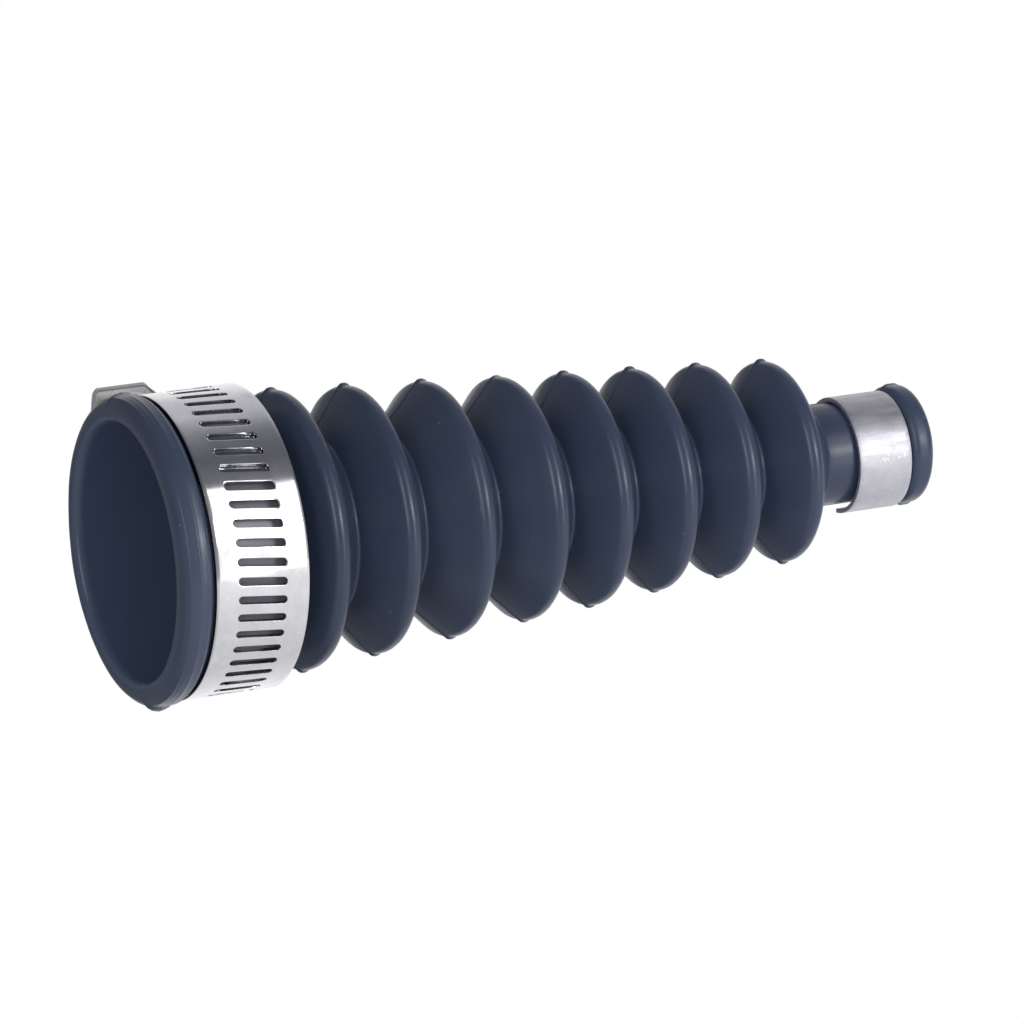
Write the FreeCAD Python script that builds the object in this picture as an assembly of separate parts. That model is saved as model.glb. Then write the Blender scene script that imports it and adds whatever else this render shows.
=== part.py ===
import FreeCAD, Part
import math
import os

# A tapered rubber bellows boot with a slotted worm-drive clamp round its mouth
# and an open crimp sleeve round its neck.
#
# Frame: the boot stands on its mouth. The origin is the centre of the mouth's flat
# face and +Z is the boot's axis, toward the neck. +X is the plane of the mould's
# parting line. Angles are measured from +X toward +Y, in degrees. Sizes are in mm.

V = FreeCAD.Vector
ORIGIN = V(0, 0, 0)
AXIS = V(0, 0, 1)

# Boot: wall and bores
WALL = 1.2
MOUTH_BORE_RADIUS = 16.9
NECK_BORE_RADIUS = 5.55

# Boot: bead lip of the mouth and the groove that takes the clamp
LIP_OVER_BAND = 0.33
LIP_WIDTH = 3.6
LIP_LEAD = 0.5
GROOVE_PLAY = 0.9
SHOULDER_INNER_ROUND = 0.3

# Boot: folds, counted from the mouth
FOLD_COUNT = 8
FOLD_PITCH = 9.66
FIRST_GAP_STRETCH = 0.6
SECOND_GAP_STRETCH = 1.25
THIRD_GAP_STRETCH = 1.1
VALLEY_LEAN = 0.3
STRETCHED_VALLEY_LEAN = 0.9
FIRST_VALLEY_DEPTH = 5.2
FIRST_VALLEY_SETBACK = 1.0
FIRST_FLANK = 3.7
FIRST_CREST_RADIUS = 18.25
LAST_CREST_RADIUS = 13.46
SECOND_VALLEY_RADIUS = 11.8
LAST_VALLEY_RADIUS = 7.72
CREST_INNER_ROUND = 0.2
VALLEY_ROUND = 0.4
LAST_FLANK = 5.4
NECK_FILLET = 1.0

# Boot: neck and end bead
NECK_LENGTH = 11.8
END_BEAD_HEIGHT = 1.2
END_BEAD_WIDTH = 3.4
END_LEAD = 0.4

# Clamp band: one strip whose start lies under its own slotted end
BAND_WIDTH = 12.7
BAND_THICKNESS = 0.55
LAYER_GAP = 0.05
TONGUE_START_ANGLE = 64.0
TAIL_PAST_SCREW_ANGLE = 57.6
TAIL_CORNER = 3.0
CLIMB_ANGLE = 35.0
CLIMB_CLEARANCE_ANGLE = 6.0
SLOT_PITCH_ANGLE = 7.2
SLOT_LENGTH = 6.7
SLOT_WIDTH = 1.1
SLOT_TILT_ANGLE = 6.5
SLOT_MARGIN_ANGLE = 7.0
TONGUE_SLOT_SHIFT_ANGLE = 2.2

# Clamp housing: an arch of sheet over the worm, closed below by the saddle
HOUSING_ANGLE = -61.0
HOUSING_LENGTH = 15.0
HOUSING_SHEET = 0.6
HOUSING_TOP_WIDTH = 8.4
HOUSING_CORNER = 1.0
HOUSING_LEG_HEIGHT = 1.5
HOUSING_KNEE = 1.2
SIDE_PLAY = 0.15
SADDLE_THICKNESS = 0.45
SADDLE_OVERHANG = 1.5
SADDLE_PLAY = 0.02

# Clamp screw
THREAD_RADIUS = 3.95
SCREW_CLEARANCE = 0.3
SCREW_HEADROOM = 0.7
SCREW_NECK_RADIUS = 2.4
COLLAR_RADIUS = 4.9
COLLAR_THICKNESS = 0.8
HEX_ACROSS_FLATS = 8.0
HEX_HEIGHT = 4.8
HEX_CHAMFER = 0.5
HEAD_SLOT_WIDTH = 1.2
HEAD_SLOT_DEPTH = 1.6
TIP_LENGTH = 0.7
TIP_CHAMFER = 0.8

# Crimp sleeve: a plain strip rolled to a C
SLEEVE_WIDTH = 7.8
SLEEVE_THICKNESS = 0.6
SLEEVE_PLAY = 0.45
SLEEVE_DROP = 0.35
SLEEVE_FROM_BEAD = 0.2
SLEEVE_START_ANGLE = -110.0
SLEEVE_END_ANGLE = 188.0

# Derived places along the boot's axis
CREST_ROUND = CREST_INNER_ROUND + WALL
SHOULDER_ROUND = SHOULDER_INNER_ROUND + WALL
GROOVE_RADIUS = MOUTH_BORE_RADIUS + WALL
NECK_RADIUS = NECK_BORE_RADIUS + WALL
BAND_BOTTOM = LIP_WIDTH + GROOVE_PLAY
BAND_MIDDLE = BAND_BOTTOM + BAND_WIDTH / 2
GROOVE_END = BAND_BOTTOM + BAND_WIDTH + GROOVE_PLAY

# Derived radii of the clamp, from the groove out, and of the lip that guards its edge
SADDLE_INNER_RADIUS = GROOVE_RADIUS + SADDLE_PLAY
SADDLE_OUTER_RADIUS = SADDLE_INNER_RADIUS + SADDLE_THICKNESS
TONGUE_INNER_RADIUS = SADDLE_OUTER_RADIUS + LAYER_GAP
TONGUE_OUTER_RADIUS = TONGUE_INNER_RADIUS + BAND_THICKNESS
BAND_INNER_RADIUS = TONGUE_OUTER_RADIUS + LAYER_GAP
BAND_OUTER_RADIUS = BAND_INNER_RADIUS + BAND_THICKNESS
LIP_RADIUS = BAND_OUTER_RADIUS + LIP_OVER_BAND
SCREW_AXIS_RADIUS = BAND_OUTER_RADIUS + SCREW_CLEARANCE + THREAD_RADIUS
HOUSING_TOP_RADIUS = SCREW_AXIS_RADIUS + THREAD_RADIUS + SCREW_HEADROOM + HOUSING_SHEET
LEG_HALF_WIDTH = BAND_WIDTH / 2 + SIDE_PLAY + HOUSING_SHEET


# Outlines made of circles joined by their common tangents

def tangent_points(first, second):
    """Ends of the straight run from one circle to the next, and its left-hand normal.

    A circle is (across, up, bend). A positive bend is a radius that turns the path
    clockwise, a negative one turns it the other way, and zero is a plain point."""
    run = math.hypot(second[0] - first[0], second[1] - first[1])
    heading = math.atan2(second[1] - first[1], second[0] - first[0])
    angle = heading - math.asin((first[2] - second[2]) / run)
    normal = (-math.sin(angle), math.cos(angle))
    start = (first[0] + first[2] * normal[0], first[1] + first[2] * normal[1])
    end = (second[0] + second[2] * normal[0], second[1] + second[2] * normal[1])
    return start, end, normal


def chain(circles, inset, place):
    """Edges of the path round the circles, moved to its right by the inset."""
    moved = [(across, up, bend - inset) for across, up, bend in circles]
    runs = [tangent_points(a, b) for a, b in zip(moved, moved[1:])]
    edges = []
    for index, (start, end, normal) in enumerate(runs):
        if index:
            across, up, bend = moved[index]
            before = runs[index - 1][2]
            mean = (before[0] + normal[0], before[1] + normal[1])
            size = bend / math.hypot(*mean)
            middle = (across + size * mean[0], up + size * mean[1])
            edges.append(arc(place(runs[index - 1][1]), place(middle), place(start)))
        edges.append(line(place(start), place(end)))
    return edges


def line(start, end):
    return Part.makeLine(start, end)


def arc(start, middle, end):
    return Part.Arc(start, middle, end).toShape()


def first_point(edges):
    return edges[0].valueAt(edges[0].FirstParameter)


def last_point(edges):
    return edges[-1].valueAt(edges[-1].LastParameter)


def polar(radius, angle, z=0.0):
    radians = math.radians(angle)
    return V(radius * math.cos(radians), radius * math.sin(radians), z)


# Bellows boot

def fold_circles():
    """Circles of the boot's outside, from the groove's far shoulder to the neck."""
    stretches = [FIRST_GAP_STRETCH, SECOND_GAP_STRETCH, THIRD_GAP_STRETCH]
    leans = [VALLEY_LEAN, STRETCHED_VALLEY_LEAN, STRETCHED_VALLEY_LEAN]
    first_valley = GROOVE_END + FIRST_VALLEY_SETBACK
    crests = [first_valley + FIRST_FLANK]
    valleys = []
    for gap in range(FOLD_COUNT - 1):
        pitch = FOLD_PITCH + (stretches[gap] if gap < len(stretches) else 0.0)
        lean = leans[gap] if gap < len(leans) else VALLEY_LEAN
        valleys.append(crests[-1] + pitch / 2 - lean)
        crests.append(crests[-1] + pitch)

    def taper(first, last, places, z):
        return first + (last - first) * (z - places[0]) / (places[-1] - places[0])

    circles = [(GROOVE_END - SHOULDER_ROUND, GROOVE_RADIUS - SHOULDER_ROUND, SHOULDER_ROUND)]
    circles.append((first_valley, GROOVE_RADIUS - FIRST_VALLEY_DEPTH + VALLEY_ROUND, -VALLEY_ROUND))
    for index, z in enumerate(crests):
        radius = taper(FIRST_CREST_RADIUS, LAST_CREST_RADIUS, crests, z)
        circles.append((z, radius - CREST_ROUND, CREST_ROUND))
        if index < len(valleys):
            radius = taper(SECOND_VALLEY_RADIUS, LAST_VALLEY_RADIUS, valleys, valleys[index])
            circles.append((valleys[index], radius + VALLEY_ROUND, -VALLEY_ROUND))
    circles.append((crests[-1] + LAST_FLANK, NECK_RADIUS + NECK_FILLET, -NECK_FILLET))
    return circles


def bellows_boot():
    folds = fold_circles()
    bead_start = folds[-1][0] + NECK_LENGTH
    top = bead_start + END_BEAD_WIDTH
    path = [(LIP_WIDTH, GROOVE_RADIUS, 0.0)] + folds + [(bead_start, NECK_RADIUS, 0.0)]

    def place(point):
        return V(point[1], 0, point[0])

    outside = chain(path, 0.0, place)
    inside = chain(path, WALL, place)

    lip_round = LIP_WIDTH / 2
    flat_end = V(LIP_RADIUS - lip_round, 0, 0)
    lip_back = V(LIP_RADIUS - lip_round, 0, LIP_WIDTH)
    lip_crest = V(LIP_RADIUS, 0, lip_round)
    lead_in = V(MOUTH_BORE_RADIUS, 0, LIP_LEAD)
    flat_start = V(MOUTH_BORE_RADIUS + LIP_LEAD, 0, 0)
    lip = [line(first_point(inside), lead_in), line(lead_in, flat_start), line(flat_start, flat_end)]
    lip += [arc(flat_end, lip_crest, lip_back), line(lip_back, first_point(outside))]

    height = END_BEAD_HEIGHT
    slant = height * math.sqrt(0.5)
    low_side = V(NECK_RADIUS + height, 0, bead_start + height)
    high_side = V(NECK_RADIUS + height, 0, top - height)
    low_round = V(NECK_RADIUS + slant, 0, bead_start + height - slant)
    high_round = V(NECK_RADIUS + slant, 0, top - height + slant)
    face_out = V(NECK_RADIUS, 0, top)
    face_in = V(NECK_BORE_RADIUS + END_LEAD, 0, top)
    lead_out = V(NECK_BORE_RADIUS, 0, top - END_LEAD)
    bead = [arc(last_point(outside), low_round, low_side), line(low_side, high_side)]
    bead += [arc(high_side, high_round, face_out), line(face_out, face_in)]
    bead += [line(face_in, lead_out), line(lead_out, last_point(inside))]

    section = Part.Face(Part.Wire(Part.__sortEdges__(lip + outside + bead + inside)))
    return section.revolve(ORIGIN, AXIS, 360), bead_start


# Worm-drive clamp

def strip_edges(radius_change, angles):
    """Edges of one face of the clamp's strip, seen along the axis.

    The strip starts as the tongue, climbs by one layer once it is clear of its own
    tail, and runs on as the outer layer to the tail's end."""
    start, climb_start, climb_end, tail_end = angles
    low = TONGUE_OUTER_RADIUS - radius_change
    high = BAND_OUTER_RADIUS - radius_change

    def turn(radius, first, last):
        middle = (first + last) / 2
        return arc(polar(radius, first), polar(radius, middle), polar(radius, last))

    steps = 12
    points = []
    for step in range(steps + 1):
        share = step / steps
        rise = share * share * (3 - 2 * share)
        angle = climb_start + (climb_end - climb_start) * share
        points.append(polar(low + (high - low) * rise, angle))
    climb = Part.BSplineCurve()
    climb.interpolate(points)
    half_way = (climb_end + tail_end) / 2
    edges = [turn(low, start, climb_start), climb.toShape()]
    edges += [turn(high, climb_end, half_way), turn(high, half_way, tail_end)]
    return edges


def slot_cutter(layer_radius, angle):
    """A round-ended slot through one layer of the strip, leaning with the thread."""
    reach = SLOT_LENGTH / 2 - SLOT_WIDTH / 2
    half = SLOT_WIDTH / 2
    depth = layer_radius - LAYER_GAP / 2
    corners = [V(depth, -half, -reach), V(depth, half, -reach), V(depth, half, reach), V(depth, -half, reach)]
    edges = [arc(corners[0], V(depth, 0, -reach - half), corners[1]), line(corners[1], corners[2])]
    edges += [arc(corners[2], V(depth, 0, reach + half), corners[3]), line(corners[3], corners[0])]
    cutter = Part.Face(Part.Wire(edges)).extrude(V(BAND_THICKNESS + LAYER_GAP, 0, 0))
    cutter.rotate(ORIGIN, V(1, 0, 0), -SLOT_TILT_ANGLE)
    cutter.rotate(ORIGIN, AXIS, angle)
    cutter.translate(V(0, 0, BAND_MIDDLE))
    return cutter


def slots_between(layer_radius, first, last):
    """Cutters one pitch apart from the first angle, as many as end before the last."""
    count = int((last - first) / SLOT_PITCH_ANGLE) + 1
    return [slot_cutter(layer_radius, first + k * SLOT_PITCH_ANGLE) for k in range(count)]


def tail_corners(tail_end):
    """What the tail's two rounded corners leave out."""
    depth = BAND_INNER_RADIUS - LAYER_GAP / 2
    reach = 4 * BAND_THICKNESS
    middle = BAND_WIDTH / 2 - TAIL_CORNER
    cutters = []
    for side in (1, -1):
        box = Part.makeBox(reach, 2 * TAIL_CORNER, 2 * TAIL_CORNER)
        box.translate(V(depth, -TAIL_CORNER, side * middle - TAIL_CORNER * (1 - side)))
        disc = Part.makeCylinder(TAIL_CORNER, reach, V(depth, TAIL_CORNER, side * middle), V(1, 0, 0))
        cutter = box.cut(disc)
        cutter.rotate(ORIGIN, AXIS, tail_end)
        cutter.translate(V(0, 0, BAND_MIDDLE))
        cutters.append(cutter)
    return cutters


def clamp_band():
    tail_end = HOUSING_ANGLE - 360.0 - TAIL_PAST_SCREW_ANGLE
    climb_start = tail_end + 360.0 - CLIMB_CLEARANCE_ANGLE
    climb_end = climb_start - CLIMB_ANGLE
    angles = (TONGUE_START_ANGLE, climb_start, climb_end, tail_end)
    outer = strip_edges(0.0, angles)
    inner = strip_edges(BAND_THICKNESS, angles)
    ends = [line(first_point(outer), first_point(inner)), line(last_point(outer), last_point(inner))]
    face = Part.Face(Part.Wire(Part.__sortEdges__(outer + inner + ends)))
    strip = face.extrude(V(0, 0, BAND_WIDTH))
    strip.translate(V(0, 0, BAND_BOTTOM))

    first_slot = tail_end + SLOT_MARGIN_ANGLE
    first_under = climb_start + SLOT_MARGIN_ANGLE + TONGUE_SLOT_SHIFT_ANGLE
    cutters = slots_between(BAND_INNER_RADIUS, first_slot, climb_end - SLOT_MARGIN_ANGLE)
    cutters += slots_between(TONGUE_INNER_RADIUS, first_under, TONGUE_START_ANGLE - SLOT_MARGIN_ANGLE)
    cutters += tail_corners(tail_end)
    return strip.cut(Part.makeCompound(cutters))


def turned_to_housing(shape):
    """From the housing's own frame, +X out through the worm and +Y along it, to the boot's."""
    shape.rotate(ORIGIN, AXIS, HOUSING_ANGLE)
    shape.translate(V(0, 0, BAND_MIDDLE))
    return shape


def arch_edges(inset):
    """The arch across the worm: straight legs, a knee, leaning sides and a flat top."""
    knee_across = LEG_HALF_WIDTH - HOUSING_KNEE
    knee_up = BAND_OUTER_RADIUS + HOUSING_LEG_HEIGHT
    corner_across = HOUSING_TOP_WIDTH / 2 - HOUSING_CORNER
    corner_up = HOUSING_TOP_RADIUS - HOUSING_CORNER
    circles = [(-LEG_HALF_WIDTH, 0.0, 0.0), (-knee_across, knee_up, HOUSING_KNEE)]
    circles += [(-corner_across, corner_up, HOUSING_CORNER), (corner_across, corner_up, HOUSING_CORNER)]
    circles += [(knee_across, knee_up, HOUSING_KNEE), (LEG_HALF_WIDTH, 0.0, 0.0)]
    return chain(circles, inset, lambda point: V(point[1], -HOUSING_LENGTH / 2, point[0]))


def closed(edges):
    loop = edges + [line(last_point(edges), first_point(edges))]
    return Part.Face(Part.Wire(loop))


def clamp_housing():
    length = V(0, HOUSING_LENGTH, 0)
    hollow = closed(arch_edges(HOUSING_SHEET)).extrude(length)
    arch = closed(arch_edges(0.0)).extrude(length).cut(hollow)

    gate = closed(arch_edges(HOUSING_SHEET / 2)).extrude(V(0, HOUSING_SHEET, 0))
    over_band = Part.makeBox(HOUSING_TOP_RADIUS, HOUSING_SHEET, 2 * LEG_HALF_WIDTH)
    over_band.translate(V(BAND_OUTER_RADIUS + SCREW_CLEARANCE, -HOUSING_LENGTH / 2, -LEG_HALF_WIDTH))
    hole = Part.makeCylinder(SCREW_NECK_RADIUS + SCREW_CLEARANCE, HOUSING_LENGTH,
                             V(SCREW_AXIS_RADIUS, -HOUSING_LENGTH, 0), V(0, 1, 0))
    gate = gate.common(over_band).cut(hole)

    under_saddle = Part.makeCylinder(SADDLE_INNER_RADIUS, 4 * LEG_HALF_WIDTH, V(0, 0, -2 * LEG_HALF_WIDTH))
    housing = arch.fuse(gate).cut(under_saddle)
    return turned_to_housing(housing.removeSplitter())


def clamp_saddle():
    half_angle = math.degrees(math.asin(HOUSING_LENGTH / 2 / SADDLE_INNER_RADIUS))
    half_angle += math.degrees(SADDLE_OVERHANG / SADDLE_INNER_RADIUS)
    width = BAND_WIDTH + 2 * SIDE_PLAY
    outer = Part.makeCylinder(SADDLE_OUTER_RADIUS, width, V(0, 0, -width / 2), AXIS, 2 * half_angle)
    inner = Part.makeCylinder(SADDLE_INNER_RADIUS, width, V(0, 0, -width / 2), AXIS, 2 * half_angle)
    saddle = outer.cut(inner)
    saddle.rotate(ORIGIN, AXIS, -half_angle)
    return turned_to_housing(saddle)


def clamp_screw():
    """The worm with its hex head, lying along +Y before it is turned to its place."""
    gate_low = -HOUSING_LENGTH / 2
    gate_high = gate_low + HOUSING_SHEET
    thread_low = gate_high + SCREW_CLEARANCE
    thread_high = HOUSING_LENGTH / 2 - TIP_LENGTH
    collar_high = gate_low - SCREW_CLEARANCE
    collar_low = collar_high - COLLAR_THICKNESS
    head_low = collar_low - HEX_HEIGHT
    tip_radius = THREAD_RADIUS - TIP_CHAMFER
    outline = [(0.0, collar_low), (COLLAR_RADIUS, collar_low), (COLLAR_RADIUS, collar_high)]
    outline += [(SCREW_NECK_RADIUS, collar_high), (SCREW_NECK_RADIUS, thread_low)]
    outline += [(THREAD_RADIUS, thread_low), (THREAD_RADIUS, thread_high)]
    outline += [(tip_radius, thread_high + TIP_LENGTH), (0.0, thread_high + TIP_LENGTH)]
    points = [V(SCREW_AXIS_RADIUS + radius, along, 0) for radius, along in outline]
    axis_point = V(SCREW_AXIS_RADIUS, 0, 0)
    body = Part.Face(Part.makePolygon(points + points[:1])).revolve(axis_point, V(0, 1, 0), 360)

    corner = HEX_ACROSS_FLATS / 2 / math.cos(math.radians(30))
    hexagon = [V(SCREW_AXIS_RADIUS + corner * math.cos(math.radians(60 * k)), head_low,
                 corner * math.sin(math.radians(60 * k))) for k in range(7)]
    head = Part.Face(Part.makePolygon(hexagon)).extrude(V(0, HEX_HEIGHT, 0))
    cone = Part.makeCone(corner - HEX_CHAMFER, corner + HEX_HEIGHT - HEX_CHAMFER, HEX_HEIGHT,
                         V(SCREW_AXIS_RADIUS, head_low, 0), V(0, 1, 0))
    slot = Part.makeBox(4 * corner, HEAD_SLOT_DEPTH, HEAD_SLOT_WIDTH)
    slot.translate(V(SCREW_AXIS_RADIUS - 2 * corner, head_low, -HEAD_SLOT_WIDTH / 2))
    head = head.common(cone).cut(slot)
    return turned_to_housing(body.fuse(head).removeSplitter())


# Crimp sleeve

def crimp_sleeve(bead_start):
    inner_radius = NECK_RADIUS + SLEEVE_PLAY
    outer_radius = inner_radius + SLEEVE_THICKNESS
    bottom = V(0, 0, bead_start - SLEEVE_FROM_BEAD - SLEEVE_WIDTH)
    turn = SLEEVE_END_ANGLE - SLEEVE_START_ANGLE
    outer = Part.makeCylinder(outer_radius, SLEEVE_WIDTH, bottom, AXIS, turn)
    inner = Part.makeCylinder(inner_radius, SLEEVE_WIDTH, bottom, AXIS, turn)
    sleeve = outer.cut(inner)
    sleeve.rotate(ORIGIN, AXIS, SLEEVE_START_ANGLE)
    sleeve.translate(V(-SLEEVE_DROP, 0, 0))
    return sleeve


def main():
    boot, bead_start = bellows_boot()
    through = polar(SCREW_AXIS_RADIUS, HOUSING_ANGLE, BAND_MIDDLE)
    print("screw axis through", through, "along", polar(1.0, HOUSING_ANGLE + 90.0))
    parts = {
        "bellows_boot": boot,
        "clamp_band": clamp_band(),
        "clamp_saddle": clamp_saddle(),
        "clamp_housing": clamp_housing(),
        "clamp_screw": clamp_screw(),
        "crimp_sleeve": crimp_sleeve(bead_start),
    }
    os.makedirs("parts", exist_ok=True)
    for name, shape in parts.items():
        box = shape.BoundBox
        print(name, "solids", len(shape.Solids), "valid", shape.isValid(), "faces", len(shape.Faces),
              "volume", round(shape.Volume, 1), "z", round(box.ZMin, 2), round(box.ZMax, 2))
        shape.exportStep(os.path.join("parts", name + ".step"))


main()
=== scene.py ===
import math
import random

import bmesh
import bpy
from mathutils import Matrix, Vector, noise


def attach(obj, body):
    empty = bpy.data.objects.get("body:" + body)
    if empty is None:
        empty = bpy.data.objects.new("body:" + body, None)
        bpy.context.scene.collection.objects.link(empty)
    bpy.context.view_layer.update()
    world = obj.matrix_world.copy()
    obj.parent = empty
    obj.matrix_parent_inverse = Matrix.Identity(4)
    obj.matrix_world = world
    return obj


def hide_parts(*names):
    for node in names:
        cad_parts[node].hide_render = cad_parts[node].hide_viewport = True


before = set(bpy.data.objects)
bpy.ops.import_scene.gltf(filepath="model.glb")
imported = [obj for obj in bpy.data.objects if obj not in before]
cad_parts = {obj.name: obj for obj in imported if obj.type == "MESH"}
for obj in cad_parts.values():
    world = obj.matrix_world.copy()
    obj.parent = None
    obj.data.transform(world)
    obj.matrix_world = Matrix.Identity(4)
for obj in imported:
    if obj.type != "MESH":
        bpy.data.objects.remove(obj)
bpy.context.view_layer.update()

# Sizes are written in mm, as in the part's source, and turned into metres here.
MM = 0.001

# Camera, fitted to the photograph. The vectors are in the camera's own directions:
# right, down and away from it.
LENS = 246.1
BAND_EDGE_CENTRE = Vector((-45.546, 4.683, 895.412))
BOOT_AXIS = Vector((0.901671, -0.12835, 0.412935)).normalized()

# Boot
WALL = 1.2
MOUTH_BORE_RADIUS = 16.9
NECK_BORE_RADIUS = 5.55
LIP_OVER_BAND = 0.33
LIP_WIDTH = 3.6
LIP_LEAD = 0.5
LIP_RIBS = (0.8, 1.85, 2.75)
LIP_RIB_HEIGHT = 0.075
LIP_RIB_HALF_WIDTH = 0.16
LIP_SWELL = 0.85
GROOVE_PLAY = 0.9
SHOULDER_ROUND = 1.5
CREST_ROUND = 1.4
VALLEY_ROUND = 0.4
FOLD_COUNT = 8
FOLD_PITCH = 9.66
GAP_STRETCHES = (0.6, 1.25, 1.1)
GAP_LEANS = (0.3, 0.9, 0.9)
LATER_LEAN = 0.3
FIRST_VALLEY_SETBACK = 1.0
FIRST_VALLEY_DEPTH = 5.2
FIRST_FLANK = 3.7
FIRST_CREST_RADIUS = 18.25
LAST_CREST_RADIUS = 13.46
SECOND_VALLEY_RADIUS = 11.8
LAST_VALLEY_RADIUS = 7.72
LAST_FLANK = 5.4
NECK_FILLET = 1.0
NECK_LENGTH = 11.8
BEAD_HEIGHT = 1.2
BEAD_WIDTH = 3.4
END_LEAD = 0.4
PARTING_HEIGHT = 0.11
PARTING_HALF_WIDTH = 0.16

# Clamp band. Its two layers lie one on the other, from the saddle out.
SADDLE_PLAY = 0.02
SADDLE_THICKNESS = 0.45
LAYER_GAP = 0.05
BAND_WIDTH = 12.7
BAND_THICKNESS = 0.55
TONGUE_START = 64.0
TAIL_PAST_SCREW = 57.6
TAIL_CORNER = 3.0
CLIMB_CLEARANCE = 6.0
CLIMB_ANGLE = 35.0
SLOT_PITCH_ANGLE = 7.2
SLOT_LENGTH = 6.7
SLOT_WIDTH = 1.1
SLOT_TILT = 6.5
SLOT_MARGIN_ANGLE = 7.0
TONGUE_SLOT_SHIFT = 2.2
BAR_PRESS = 0.28
BAR_PRESS_REACH = 3.6

# Clamp housing and screw. Places along the screw are measured from the housing's middle.
HOUSING_ANGLE = -61.0
HOUSING_LENGTH = 15.0
HOUSING_SHEET = 0.6
HOUSING_TOP_WIDTH = 8.4
HOUSING_CORNER = 1.0
HOUSING_END_ROUND = 1.4
HOUSING_LEG_HEIGHT = 1.5
HOUSING_KNEE = 1.2
SIDE_PLAY = 0.15
SCREW_CLEARANCE = 0.3
SCREW_HEADROOM = 0.7
SCREW_NECK_RADIUS = 2.4
SCREW_CUT = -7.2
THREAD_RADIUS = 3.95
THREAD_DEPTH = 0.75
THREAD_PITCH = 2.44
THREAD_LOW = -6.6
THREAD_HIGH = 6.8
TIP_LENGTH = 0.7
TIP_CHAMFER = 0.8
TIP_HOLE_RADIUS = 0.9
TIP_HOLE_DEPTH = 0.35

# Crimp sleeve
SLEEVE_WIDTH = 7.8
SLEEVE_THICKNESS = 0.6
SLEEVE_PLAY = 0.45
SLEEVE_FROM_BEAD = 0.2
SLEEVE_DROP = 0.35
SLEEVE_START = -110.0
SLEEVE_END = 188.0

# Derived places along the boot's axis
BAND_BOTTOM = LIP_WIDTH + GROOVE_PLAY
BAND_MIDDLE = BAND_BOTTOM + BAND_WIDTH / 2
GROOVE_END = BAND_BOTTOM + BAND_WIDTH + GROOVE_PLAY
UNDER_BAND_END = GROOVE_END - 1.0
FIRST_VALLEY = GROOVE_END + FIRST_VALLEY_SETBACK
FIRST_CREST = FIRST_VALLEY + FIRST_FLANK
LAST_CREST = FIRST_CREST + (FOLD_COUNT - 1) * FOLD_PITCH + sum(GAP_STRETCHES)
BEAD_START = LAST_CREST + LAST_FLANK + NECK_LENGTH
SLEEVE_BOTTOM = BEAD_START - SLEEVE_FROM_BEAD - SLEEVE_WIDTH

# Derived radii and widths
GROOVE_RADIUS = MOUTH_BORE_RADIUS + WALL
NECK_RADIUS = NECK_BORE_RADIUS + WALL
SADDLE_INNER_RADIUS = GROOVE_RADIUS + SADDLE_PLAY
TONGUE_DROP = BAND_THICKNESS + LAYER_GAP
BAND_OUTER_RADIUS = SADDLE_INNER_RADIUS + SADDLE_THICKNESS + 2 * TONGUE_DROP
LIP_RADIUS = BAND_OUTER_RADIUS + LIP_OVER_BAND
SCREW_AXIS_RADIUS = BAND_OUTER_RADIUS + SCREW_CLEARANCE + THREAD_RADIUS
HOUSING_TOP_RADIUS = SCREW_AXIS_RADIUS + THREAD_RADIUS + SCREW_HEADROOM + HOUSING_SHEET
LEG_HALF_WIDTH = BAND_WIDTH / 2 + SIDE_PLAY + HOUSING_SHEET
TIP_RADIUS = THREAD_RADIUS - TIP_CHAMFER
TIP_HIGH = THREAD_HIGH + TIP_LENGTH
SLEEVE_INNER_RADIUS = NECK_RADIUS + SLEEVE_PLAY

# Derived angles of the band, from its tongue down to its tail's end
CLIMB_START = HOUSING_ANGLE - TAIL_PAST_SCREW - CLIMB_CLEARANCE
CLIMB_END = CLIMB_START - CLIMB_ANGLE
TAIL_END = HOUSING_ANGLE - TAIL_PAST_SCREW - 360.0
FIRST_UNDER = CLIMB_START + SLOT_MARGIN_ANGLE + TONGUE_SLOT_SHIFT


# Mesh helpers

def new_object(name, vertices, faces, material, slot, body="boot"):
    """A smooth piece from a mesh in mm, riding on a body."""
    mesh = bpy.data.meshes.new(name)
    mesh.from_pydata([tuple(c * MM for c in v) for v in vertices], [], faces)
    shell = bmesh.new()
    shell.from_mesh(mesh)
    bmesh.ops.recalc_face_normals(shell, faces=shell.faces)
    shell.to_mesh(mesh)
    shell.free()
    mesh.materials.append(material)
    mesh.shade_smooth()
    made = bpy.data.objects.new(name, mesh)
    bpy.context.scene.collection.objects.link(made)
    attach(made, body)
    return made


def rounded_edges(piece, width):
    bevel = piece.modifiers.new("rounded edges", "BEVEL")
    bevel.width = width * MM
    bevel.segments = 2
    bevel.limit_method = "ANGLE"
    bevel.angle_limit = math.radians(35)
    bevel.harden_normals = False
    smooth = piece.modifiers.new("weighted normals", "WEIGHTED_NORMAL")
    smooth.keep_sharp = True
    return piece


def polar(radius, angle, z):
    """A point at a radius and an angle in degrees round the boot's axis."""
    radians = math.radians(angle)
    return (radius * math.cos(radians), radius * math.sin(radians), z)


# The boot's outline: circles joined by their common tangents, as in the part's source

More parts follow.
